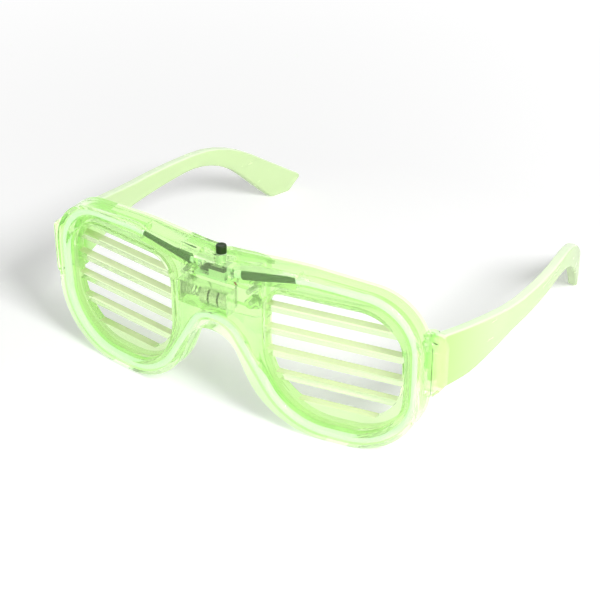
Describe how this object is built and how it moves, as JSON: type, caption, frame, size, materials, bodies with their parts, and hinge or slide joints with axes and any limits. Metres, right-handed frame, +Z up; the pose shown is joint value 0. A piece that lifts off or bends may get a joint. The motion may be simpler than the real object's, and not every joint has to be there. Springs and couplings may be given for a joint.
{
  "type": "light-up shutter glasses",
  "caption": "Wearable light-up shutter glasses: clear two-part front with a glowing tube round both lenses, slatted inserts, battery bridge, push button and folding temples.",
  "frame": {"origin": "middle of the glasses' bounding box, on the ground plane that the lower rims and the temple tips rest on", "axes": "+Z up, -Y towards the front of the glasses, +X towards the wearer's left"},
  "size_m": [0.1618, 0.1532, 0.0627],
  "materials": {
    "clear_green": "clear, polished",
    "milky_green": "milky, polished",
    "light_cord": "clear cord, glowing when lit",
    "dark_sleeve": "heat-shrunk, satin",
    "led_resin": "clear resin",
    "board_white": "satin white solder mask",
    "chip_black": "matt",
    "resistor_black": "matt glaze, tinned ends",
    "button_black": "satin",
    "cell_steel": "nickel plated",
    "contact_metal": "nickel plated",
    "screw_steel": "zinc plated",
    "wire_black": "satin insulation",
    "wire_red": "satin insulation"
  },
  "bodies": {
    "front": {"front_shell": "clear_green", "rear_cover": "clear_green", "slat_insert_left": "clear_green", "slat_insert_right": "clear_green", "battery_door": "clear_green", "door_screw": "screw_steel", "cover_screws": "screw_steel", "light_tube": "light_cord", "sleeve_left": "dark_sleeve", "sleeve_right": "dark_sleeve", "led_left": "led_resin", "led_right": "led_resin", "circuit_board": "board_white", "driver_chip": "chip_black", "resistors": "resistor_black", "switch_body": "chip_black", "cell_left": "cell_steel", "cell_middle": "cell_steel", "cell_right": "cell_steel", "contact_spring": "contact_metal", "spring_plate": "contact_metal", "contact_plate": "contact_metal", "wire_black": "wire_black", "wire_red": "wire_red", "hinge_screw_left": "milky_green", "hinge_screw_right": "milky_green"},
    "left_temple": {"temple_left": "milky_green"},
    "right_temple": {"temple_right": "milky_green"},
    "button": {"push_button": "button_black"}
  },
  "joints": [
    {"name": "left_temple_fold", "type": "hinge", "parent": "front", "child": "left_temple", "pos_m": [0.0696, -0.05602, 0.035], "axis": [0, 0, 1], "range_deg": [0, 87]},
    {"name": "right_temple_fold", "type": "hinge", "parent": "front", "child": "right_temple", "pos_m": [-0.0696, -0.05602, 0.035], "axis": [0, 0, -1], "range_deg": [0, 78]},
    {"name": "button_press", "type": "slide", "parent": "front", "child": "button", "axis": [0, 0, -1], "range_m": [0, 0.0003], "stiffness_N_per_m": 4000, "springref_m": -0.0001}
  ]
}
